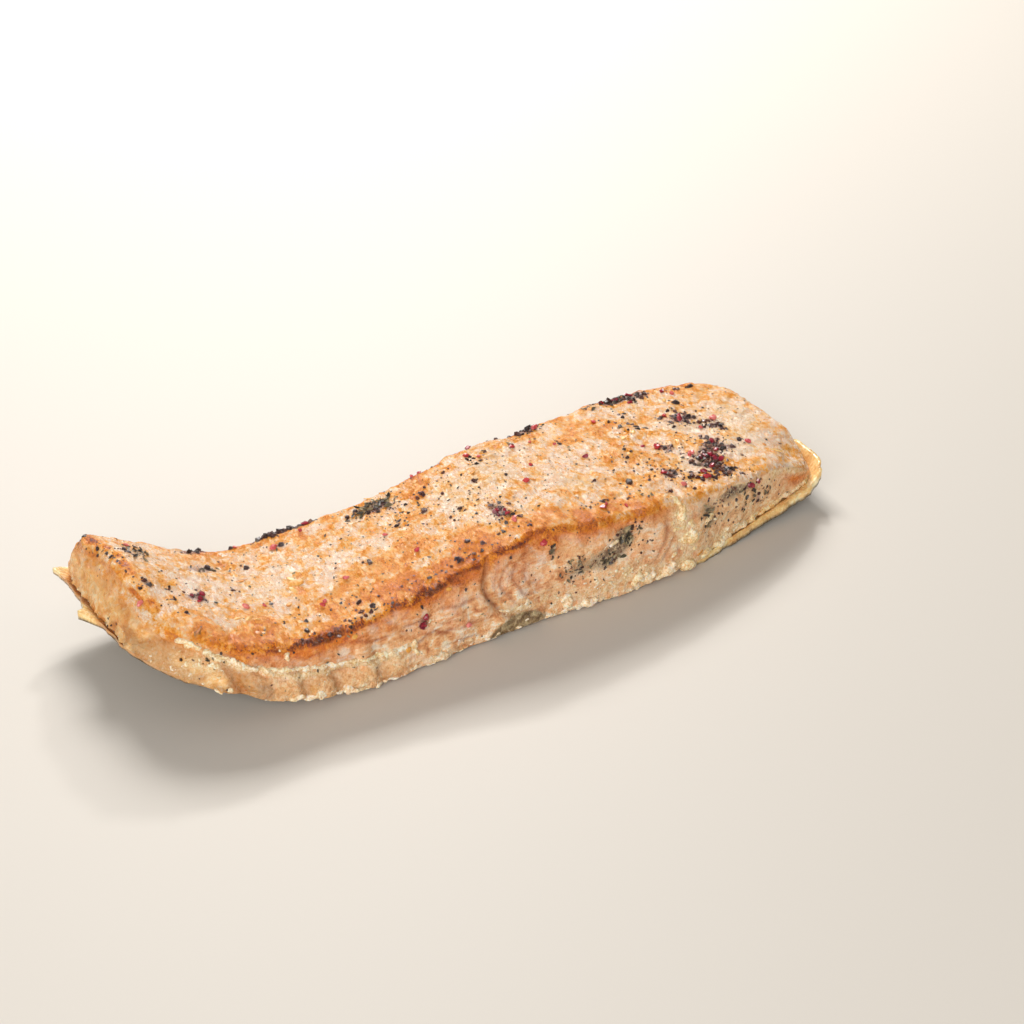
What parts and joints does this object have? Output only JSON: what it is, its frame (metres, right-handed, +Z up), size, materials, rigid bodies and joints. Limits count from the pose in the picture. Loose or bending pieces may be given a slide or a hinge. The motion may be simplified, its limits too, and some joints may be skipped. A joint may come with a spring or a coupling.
{
  "type": "cooked salmon fillet portion",
  "caption": "Long seared salmon fillet portion lying skin side down, with a browned peppered top, moist flaky cut faces, and both ends curling slightly upward.",
  "frame": {"origin": "centre of the bounding box's base, on the surface that the skin rests on", "axes": "+X along the portion to its back end, +Y across it away from the near cut face, +Z up"},
  "size_m": [0.223, 0.0778, 0.033],
  "materials": {
    "seared_flesh": "moist cooked salmon, golden to brown on the seared top, pale peach on the cut faces, with cracked pepper, herbs and milky curds",
    "cooked_skin": "wet tan cooked fish skin and fat, grey-brown in places"
  },
  "bodies": {
    "root": {"salmon_flesh": "seared_flesh", "salmon_skin": "cooked_skin"}
  },
  "joints": []
}
